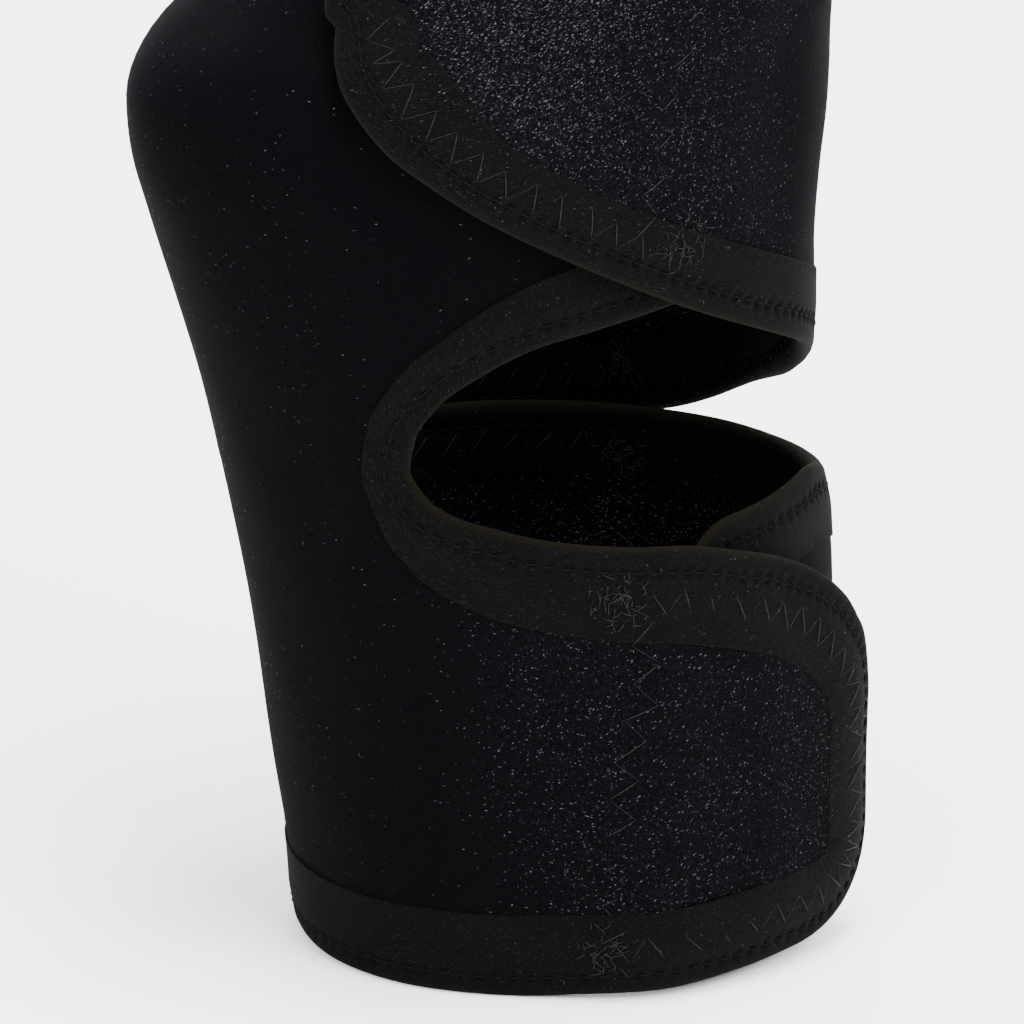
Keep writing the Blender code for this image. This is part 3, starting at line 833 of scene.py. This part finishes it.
def build_tape(name, node, path, wrap, seams, flat_foot, material):
    """One length of tape, folded over the sheet's edge."""
    sections = np.array([
        tape_section(wrap, reach, arc, seams) for reach, arc in zip(path.reach, path.arc)])
    depth, out = sections[..., 0], sections[..., 1]
    angle = path.angle[:, None] + path.turn[:, None] * depth
    height = path.height[:, None] + path.rise[:, None] * depth
    upper = np.repeat(path.upper[:, None], depth.shape[1], axis=1)
    points = wrap.place(upper, angle, height, np.maximum(depth, 0.0), out)
    if flat_foot:
        points[..., 2] = np.maximum(points[..., 2], 0.0)
    steps = np.linalg.norm(np.diff(np.stack((depth, out), axis=-1), axis=1), axis=2)
    across = np.concatenate((np.zeros((len(steps), 1)), np.cumsum(steps, axis=1)), axis=1)
    rings, corners = depth.shape
    index = np.arange(rings * corners).reshape(rings, corners)
    after = np.roll(index, -1, axis=1)
    faces = np.stack((index[:-1], after[:-1], after[1:], index[1:]), axis=-1).reshape(-1, 4).tolist()
    faces += [index[0].tolist(), index[-1].tolist()]
    tape = new_piece(name, points.reshape(-1, 3), faces, material, "binding_tape", [node])
    turn_outward(tape)
    flat = [len(face.vertices) == 4 for face in tape.data.polygons]
    tape.data.polygons.foreach_set("use_smooth", flat)
    weave = np.stack((np.repeat(path.arc[:, None], corners, axis=1), across, 0 * across), axis=-1)
    give(tape, "weave", weave.reshape(-1, 3))
    give(tape, "fold", (1 - smooth((depth + wrap.rim) / FOLD_WEAR_REACH)).ravel() * FOLD_WEAR)
    return tape


# Threads

# A thread's width where it enters the cloth, as a share
NEEDLE_END = 0.35
# How far the zigzags' and the tangles' threads arch, and how far under the skin they start
ZIGZAG_RISE = 0.00016
TACK_RISE = 0.00045
THREAD_SINK = 0.00004
# Every second leg of a zigzag is drawn tighter into the cloth
DRAWN_LEG = 0.55
# Unevenness of the needle holes, along the tape, across it and up the sheet
ARC_SPREAD = 0.00022
DEPTH_SPREAD = 0.00025
HEIGHT_SPREAD = 0.0003
# A zigzag up the sheet, beside one on the tape: its step, as a share of the pitch, and its width
UP_STEP = 0.58
UP_WIDTH = 0.92
# The running seam's thread: where each stitch starts and ends in its pitch, its radius, rise and sink
STITCH_SPAN = (0.15, 0.85)
STITCH_RADIUS = 0.00014
STITCH_SINK = 0.00010
# The tangle that locks a seam: half its size, the length of its stitches, and their thinness
TACK_REACH = 0.0042
TACK_LEG = (0.0010, 0.0026)
TACK_THINNESS = 0.7
TACK_STITCHES = 44


def tubes(starts, ends, normals, radius, rise, sides=5, steps=4):
    """Arched tubes from start to end, each closed, as points and faces."""
    t = np.linspace(0, 1, steps + 1)
    bow = np.broadcast_to(rise, len(starts))[:, None] * 4 * t * (1 - t)
    line = starts[:, None] + (ends - starts)[:, None] * t[:, None] + normals[:, None] * bow[..., None]
    ahead = unit(ends - starts)
    side = unit(np.cross(ahead, normals))
    over = np.cross(side, ahead)
    turn = np.arange(sides) / sides * 2 * math.pi
    width = np.broadcast_to(radius, len(starts))[:, None] * np.where((t == 0) | (t == 1), NEEDLE_END, 1.0)
    ring = (side[:, None] * np.cos(turn)[:, None] + over[:, None] * np.sin(turn)[:, None])
    points = line[:, :, None] + ring[:, None] * width[..., None, None]
    count = len(starts)
    index = np.arange(count * (steps + 1) * sides).reshape(count, steps + 1, sides)
    after = np.roll(index, -1, axis=2)
    walls = np.stack((index[:, :-1], after[:, :-1], after[:, 1:], index[:, 1:]), axis=-1).reshape(-1, 4)
    caps = [row[::-1] for row in index[:, 0].tolist()] + index[:, -1].tolist()
    return points.reshape(-1, 3), walls.tolist() + caps


def join(parts):
    """Several lots of points and faces as one."""
    points, faces, start = [], [], 0
    for part_points, part_faces in parts:
        points.append(part_points)
        faces += [[corner + start for corner in face] for face in part_faces]
        start += len(part_points)
    return np.concatenate(points), faces


def on_skin(wrap, upper, angle, height, reach, side, above):
    """Points just above the cloth's or the tape's face, with their outward normals."""
    depth = wrap.depth(upper, angle, height)
    out = wrap.skin(depth, reach) + above
    points = wrap.place(upper, angle, height, depth, side * out)
    return points, wrap.tangents(angle, height)[2] * side


def zigzag_along(path, start, stop, middle, seams, random):
    """Needle holes of a zigzag on the tape, from one distance along the edge to another."""
    half = seams.zigzag_pitch / 2
    arc = np.arange(start, stop, half)
    depth = middle + seams.zigzag_width / 2 * np.where(np.arange(len(arc)) % 2, 1, -1)
    arc = arc + random.normal(0, ARC_SPREAD, len(arc))
    depth = depth + random.normal(0, DEPTH_SPREAD, len(arc))
    return path.at(arc, depth)


def zigzag_up(wrap, upper, seam, seams, random):
    """Needle holes of a zigzag that runs up the sheet, along a patch's straight end."""
    foot, top = BANDS[upper][2:]
    middle = curve(seam, 1, np.array(0.5))
    low = float(wrap.edge_height(foot, middle)) + seams.zigzag_depth
    high = float(wrap.edge_height(top, middle)) - seams.zigzag_depth
    height = np.arange(low, high, seams.zigzag_pitch * UP_STEP)
    angle = curve(seam, 1, height / wrap.height)
    metres_a_degree = np.linalg.norm(wrap.tangents(angle, height)[0], axis=-1)
    swing = seams.zigzag_width / 2 * UP_WIDTH / metres_a_degree
    angle = angle + swing * np.where(np.arange(len(angle)) % 2, 1, -1)
    height = height + random.normal(0, HEIGHT_SPREAD, len(height))
    flags = np.full(len(angle), upper)
    return flags, angle, height, np.full(len(angle), wrap.tape_width)


def bar_tack(path, arc, seams, random, count=TACK_STITCHES):
    """Needle holes, in pairs, of the tangle of short stitches that locks a seam's end."""
    middle = np.clip(random.normal(0, 0.5, (2, count)), -1, 1) * TACK_REACH
    turn = random.uniform(0, math.pi, count)
    half = random.uniform(*TACK_LEG, count) / 2 * np.array((np.cos(turn), np.sin(turn)))
    along, across = np.stack((middle - half, middle + half), axis=-1).reshape(2, -1)
    return path.at(arc + along, seams.zigzag_depth + across)


def legs(wrap, holes, side, seams, rise, paired=False):
    """The thread between needle holes: from each to the next, or only within each pair."""
    upper, angle, height, reach = holes
    points, normals = on_skin(wrap, upper, angle, height, reach, side, -THREAD_SINK)
    step = 2 if paired else 1
    starts, ends, normals = points[:-1:step], points[1::step], normals[:-1:step]
    uneven = np.where(np.arange(len(starts)) % 2, DRAWN_LEG, 1.0)
    drawn = np.full(len(starts), TACK_THINNESS) if paired else uneven
    return tubes(starts, ends, normals, seams.thread / 2 * drawn, rise * drawn)


def build_zigzags(wrap, seams, finish):
    """The patches' zigzag seams, on both faces of the sheet, with a tangle where each line starts."""
    random = np.random.default_rng(5)
    material = sewing_thread("smoke_nylon_thread", finish.thread, 0.6, 0.08)
    for name, (band, seam, runs) in ZIGZAGS.items():
        holes, tangles = [], []
        for tape, low, high, _ in runs:
            path = wrap.paths[tape]
            middle = seams.narrow_depth if tape == "strap" else seams.zigzag_depth
            holes.append(zigzag_along(path, *path.stretch(band, low, high), middle, seams, random))
        holes.append(zigzag_up(wrap, band, seam, seams, random))
        if seam is FAR_BACK_SEAM:
            holes.append(zigzag_up(wrap, band, FAR_FRONT_SEAM, seams, random))
        for tape, _, _, angle in runs:
            here = wrap.paths[tape].stretch(band, angle - 2, angle + 2)
            tangles.append(bar_tack(wrap.paths[tape], sum(here) / 2, seams, random))
        parts = []
        for side in (1, -1):
            parts += [legs(wrap, line, side, seams, ZIGZAG_RISE) for line in holes]
            parts += [legs(wrap, line, side, seams, TACK_RISE, True) for line in tangles]
        new_piece(name, *join(parts), material, "binding_tape")


def build_running(wrap, seams):
    """The running seam that holds the tape, a short sunk stitch between each two needle holes."""
    parts = []
    for path in wrap.paths.values():
        starts = np.arange(0.001, path.length - seams.running_pitch, seams.running_pitch)
        for side in (1, -1):
            ends = []
            for share in STITCH_SPAN:
                arc = starts + share * seams.running_pitch
                upper, angle, height, _ = path.at(arc, seams.running_depth)
                depth = np.full(len(arc), seams.running_depth)
                out = wrap.skin(depth, wrap.tape_width) - STITCH_SINK
                points = wrap.place(upper, angle, height, depth, side * out)
                ends.append((points, wrap.tangents(angle, height)[2] * side))
            (start, normal), (end, _) = ends
            parts.append(tubes(start, end, normal, STITCH_RADIUS, STITCH_RADIUS, steps=3))
    material = sewing_thread("black_polyester_thread", linear("#070707"), 0.9, 0.05)
    new_piece("running_seam", *join(parts), material, "binding_tape")


# The nap

# A standing loop's length, radius, height over the cloth, sideways bend and the depth of its ends
LOOP_LENGTH = (0.00026, 0.00070)
LOOP_RADIUS = (0.000025, 0.000045)
LOOP_STAND = (0.00006, 0.00018)
LOOP_BEND = 0.00007
LOOP_SINK = 0.00003
# Places tried for each loop on the lower and the upper band, and how sharply their number follows the nap
TRIES = {False: 5, True: 9}
NAP_POWER = {False: 1.5, True: 2.2}
# How many are kept until those on the tape are taken out, the gap to the tape, and the share that strays
SPARE = 1.35
TAPE_GAP = 0.0002
STRAYS = 0.05


def build_loops(wrap, finish, outside, random):
    """Single loops that stand up from the face: each a slim closed spindle, its ends in the cloth."""
    rows = []
    for upper in (False, True):
        first, last, foot, top = BANDS[upper]
        count = finish.loop_count * TRIES[upper]
        angle = random.uniform(first, last, count)
        low, high = wrap.edge_height(foot, angle), wrap.edge_height(top, angle)
        height = random.uniform(0, wrap.height, count)
        amount = nap_amount(upper, angle, height / wrap.height, outside)
        chance = amount ** NAP_POWER[outside]
        kept = (height > low) & (height < high) & (random.uniform(0, 1, count) < chance)
        rows.append(np.stack((np.full(kept.sum(), upper), angle[kept], height[kept]), axis=1))
    rows = np.concatenate(rows)
    rows = rows[random.permutation(len(rows))[:int(finish.loop_count * SPARE)]]
    upper, angle, height = rows[:, 0].astype(bool), rows[:, 1], rows[:, 2]
    depth = wrap.depth(upper, angle, height)
    on_cloth = (depth > wrap.tape_width + TAPE_GAP) | (random.uniform(0, 1, len(depth)) < STRAYS)
    upper, angle, height, depth = (
        values[on_cloth][:finish.loop_count] for values in (upper, angle, height, depth))
    side = 1 if outside else -1
    printed = patch_print(upper, angle, height / wrap.height, depth) * (side > 0)
    out = side * wrap.skin(depth, wrap.tape_width) + printed
    centre = wrap.place(upper, angle, height, depth, out)
    along, upward, normal = wrap.tangents(angle, height)
    normal = normal * side
    along, upward = unit(along), unit(upward)
    turn = random.uniform(0, 2 * math.pi, len(angle))[:, None]
    ahead = along * np.cos(turn) + upward * np.sin(turn)
    across = np.cross(normal, ahead)
    length = random.uniform(*LOOP_LENGTH, len(angle))[:, None]
    thick = random.uniform(*LOOP_RADIUS, len(angle))[:, None]
    bend = random.normal(0, LOOP_BEND, len(angle))[:, None]
    stand = random.uniform(*LOOP_STAND, len(angle))[:, None]
    start = centre - ahead * length / 2 - normal * LOOP_SINK
    end = centre + ahead * length / 2 - normal * LOOP_SINK
    middle = centre + across * bend + normal * stand
    ring = [middle + normal * thick, middle - normal * thick * 0.5 + across * thick,
            middle - normal * thick * 0.5 - across * thick]
    points = np.stack((start, *ring, end), axis=1).reshape(-1, 3)
    first = np.arange(len(angle))[:, None] * 5
    corners = np.array(((0, 2, 1), (0, 3, 2), (0, 1, 3), (4, 1, 2), (4, 2, 3), (4, 3, 1)))
    faces = (first[:, :, None] + corners[None]).reshape(-1, 3)
    name = "nap_outside" if outside else "nap_inside"
    return new_piece(name, points, faces, nylon_loops(finish), "napped_neoprene")


# The hook patches

HOOK_GRID = (46, 40)
# From the wing's edge to the patch, and the turn over which its tip rounds off, in degrees
HOOK_MARGIN = 0.0142
HOOK_ROUNDING = 9.0
HOOK_TIP_CUT = 0.3
# The near and the far face of the patch's ground, below the sheet's face
GROUND_FACES = (0.0002, 0.0009)
HOOK_RADIUS = 0.00010
HOOK_KNEE = 0.00042
HOOK_CURL = 0.00028


def build_hooks(wrap, name, node, upper, span, random):
    """A hook patch inside the tip of an outer wing: its ground, and rows of small curled hooks."""
    start, tip = span
    foot, top = BANDS[upper][2:]
    rounded = tip - math.copysign(HOOK_ROUNDING, tip - start)
    angles = np.linspace(start, tip, HOOK_GRID[0])
    low = wrap.edge_height(foot, angles) + HOOK_MARGIN
    high = wrap.edge_height(top, angles) - HOOK_MARGIN
    turned = np.clip((angles - rounded) / (tip - rounded), 0, 1)
    cut = (high - low) * HOOK_TIP_CUT * (1 - np.sqrt(1 - turned * turned))
    shares = np.linspace(0, 1, HOOK_GRID[1])
    height = (low + cut)[:, None] + (high - low - 2 * cut)[:, None] * shares
    angle = np.repeat(angles[:, None], len(shares), axis=1)
    flags = np.full(angle.shape, upper)
    depth = np.full(angle.shape, 0.02)
    near, far = (wrap.place(flags, angle, height, depth, -(wrap.sheet / 2 + below)) for below in GROUND_FACES)
    size = angle.size
    outer = np.arange(size).reshape(angle.shape)
    closed = np.ones(len(angles) - 1, bool)
    ground = np.concatenate(sheet_faces(outer, outer + size, closed, closed)).tolist()
    points = np.concatenate((near.reshape(-1, 3), far.reshape(-1, 3)))
    # A hook, a stem and a curl, at every second point of the grid
    picks = [(i, j) for i in range(1, len(angles) - 1) for j in range(1, len(shares) - 1) if (i + j) % 2 == 0]
    i, j = np.array(picks).T
    foot_points = far[i, j]
    normal = -wrap.tangents(angle[i, j], height[i, j])[2]
    along = unit(wrap.tangents(angle[i, j], height[i, j])[0])
    lean = along * random.choice((-1.0, 1.0), len(i))[:, None]
    knee = foot_points + normal * HOOK_KNEE
    curl = knee + lean * HOOK_CURL + normal * 0.00005
    stems = tubes(foot_points - normal * 0.0001, knee, lean, HOOK_RADIUS, 0.00002, sides=4, steps=2)
    curls = tubes(knee, curl, normal, HOOK_RADIUS, 0.00008, sides=4, steps=2)
    new_piece(name, *join([(points, ground), stems, curls]), hook_tape(), "hook_tape", [node])


# The studio

ELEVATION = math.radians(20)
AZIMUTH = math.radians(33)
DISTANCE = 2.0
MM_A_PIXEL = 0.16
PICTURE = 1024
SENSOR_MM = 36.0
# The rim's lowest point under the axis, in the photograph's pixels
AXIS_PIXEL = (576, 899)
# Name, place, size in metres and power in watts
LIGHTS = (
    ("key_light", (0.3, -2.2, 1.9), 1.6, 135),
    ("fill_light", (-2.0, -0.7, 1.2), 1.8, 70),
    ("top_light", (0.1, -0.3, 1.9), 0.8, 80),
    ("back_light", (0.9, 1.9, 1.7), 1.6, 92),
)
LIGHT_AIM = Vector((0, 0, 0.1))


def add_camera():
    """A long lens, far off, at the photograph's height and turn."""
    toward = Vector((-math.sin(AZIMUTH) * math.cos(ELEVATION), -math.cos(AZIMUTH) * math.cos(ELEVATION),
                     math.sin(ELEVATION)))
    right = Vector((math.cos(AZIMUTH), -math.sin(AZIMUTH), 0))
    up = toward.cross(right)
    middle = PICTURE / 2
    target = (right * (middle - AXIS_PIXEL[0]) + up * (AXIS_PIXEL[1] - middle)) * MM_A_PIXEL * MM
    target = target + Vector(FORM_ORIGIN)
    data = bpy.data.cameras.new("studio_camera")
    data.sensor_width = SENSOR_MM
    data.lens = SENSOR_MM * DISTANCE / (PICTURE * MM_A_PIXEL * MM)
    data.clip_start = 0.05
    data.clip_end = 20
    camera = add_object("studio_camera", data)
    turn = Matrix((right, up, toward)).transposed().to_4x4()
    camera.matrix_world = Matrix.Translation(target + toward * DISTANCE) @ turn
    bpy.context.scene.camera = camera


def add_light(name, place, size, power):
    """A soft square light that faces the support."""
    data = bpy.data.lights.new(name, "AREA")
    data.shape = "SQUARE"
    data.size = size
    data.energy = power
    light = add_object(name, data)
    aim = LIGHT_AIM - Vector(place)
    light.matrix_world = Matrix.Translation(place) @ aim.to_track_quat("-Z", "Y").to_matrix().to_4x4()


def add_backdrop():
    """A card that is floor in front and curves up far behind."""
    back = Vector((math.sin(AZIMUTH), math.cos(AZIMUTH), 0))
    across = Vector((math.cos(AZIMUTH), -math.sin(AZIMUTH), 0))
    profile = [(-3.0, 0.0), (1.6, 0.0)]
    profile += [(1.6 + 0.8 * math.sin(math.radians(t)), 0.8 - 0.8 * math.cos(math.radians(t)))
                for t in range(9, 91, 9)]
    profile.append((2.4, 3.0))
    points = [tuple(back * reach + across * side + Vector((0, 0, rise)))
              for reach, rise in profile for side in (-3.0, 3.0)]
    faces = [(2 * k, 2 * k + 1, 2 * k + 3, 2 * k + 2) for k in range(len(profile) - 1)]
    new_mesh("backdrop", points, faces, backdrop_card())


def add_world():
    """Even, pale light from all round."""
    world = bpy.data.worlds.new("studio")
    world.use_nodes = True
    sky = world.node_tree.nodes["Background"]
    sky.inputs["Color"].default_value = linear("#f4f5f8")
    sky.inputs["Strength"].default_value = 1.55
    bpy.context.scene.world = world


# Operators

class Step:
    """What every step that builds on the sheet shares."""

    def execute(self, context):
        scene = context.scene
        self.build(Wrap(scene.support_sizes), scene.support_seams, scene.support_finish)
        return {"FINISHED"}


class SUPPORT_OT_sheet(Step, bpy.types.Operator):
    """Build the laminated foam sheet"""

    bl_idname = "support.sheet"
    bl_label = "Sheet"

    def build(self, wrap, seams, finish):
        build_sheet(wrap, finish)


class SUPPORT_OT_tapes(Step, bpy.types.Operator):
    """Fold the twill tape over the sheet's whole edge, in four lengths"""

    bl_idname = "support.tapes"
    bl_label = "Tapes"

    def build(self, wrap, seams, finish):
        material = twill_tape(finish)
        for name, path in wrap.paths.items():
            build_tape(f"{name}_tape", f"{name}_binding", path, wrap, seams, name == "bottom", material)


class SUPPORT_OT_seams(Step, bpy.types.Operator):
    """Sew the patches' zigzags and the tape's running seam"""

    bl_idname = "support.seams"
    bl_label = "Seams"

    def build(self, wrap, seams, finish):
        build_zigzags(wrap, seams, finish)
        build_running(wrap, seams)


class SUPPORT_OT_nap(Step, bpy.types.Operator):
    """Raise single loops of the nap on both faces"""

    bl_idname = "support.nap"
    bl_label = "Nap"

    def build(self, wrap, seams, finish):
        random = np.random.default_rng(11)
        for outside in (True, False):
            build_loops(wrap, finish, outside, random)


class SUPPORT_OT_hooks(Step, bpy.types.Operator):
    """Set the two hook patches inside the outer wings' tips"""

    bl_idname = "support.hooks"
    bl_label = "Hook patches"

    def build(self, wrap, seams, finish):
        random = np.random.default_rng(3)
        build_hooks(wrap, "strap_hooks", "upper_hook_patch", True, (-266.0, -319.0), random)
        build_hooks(wrap, "flap_hooks", "lower_hook_patch", False, (78.0, 117.5), random)


class SUPPORT_OT_studio(bpy.types.Operator):
    """Set the camera, the lights and the pale backdrop"""

    bl_idname = "support.studio"
    bl_label = "Studio"

    def execute(self, context):
        add_camera()
        add_backdrop()
        add_world()
        for light in LIGHTS:
            add_light(*light)
        return {"FINISHED"}


class SUPPORT_PT_panel(bpy.types.Panel):
    """The support's sizes and steps"""

    bl_idname = "SUPPORT_PT_panel"
    bl_label = "Ankle Support"
    bl_space_type = "VIEW_3D"
    bl_region_type = "UI"
    bl_category = "Ankle Support"

    def draw(self, context):
        scene = context.scene
        for group in (scene.support_sizes, scene.support_seams, scene.support_finish):
            box = self.layout.box()
            for name in group.__annotations__:
                box.prop(group, name)
        for step in STEPS:
            self.layout.operator(step.bl_idname)


STEPS = (SUPPORT_OT_studio, SUPPORT_OT_sheet, SUPPORT_OT_tapes, SUPPORT_OT_seams, SUPPORT_OT_nap,
         SUPPORT_OT_hooks)
GROUPS = {"support_sizes": SupportSizes, "support_seams": SeamSizes, "support_finish": FinishSettings}


def register():
    for group in GROUPS.values():
        bpy.utils.register_class(group)
    for step in STEPS:
        bpy.utils.register_class(step)
    bpy.utils.register_class(SUPPORT_PT_panel)
    for name, group in GROUPS.items():
        setattr(bpy.types.Scene, name, PointerProperty(type=group))


def unregister():
    for name in GROUPS:
        delattr(bpy.types.Scene, name)
    bpy.utils.unregister_class(SUPPORT_PT_panel)
    for step in reversed(STEPS):
        bpy.utils.unregister_class(step)
    for group in reversed(GROUPS.values()):
        bpy.utils.unregister_class(group)


def main():
    register()
    bpy.ops.support.studio()
    bpy.ops.support.sheet()
    bpy.ops.support.tapes()
    bpy.ops.support.seams()
    bpy.ops.support.nap()
    bpy.ops.support.hooks()


if __name__ == "__main__":
    main()
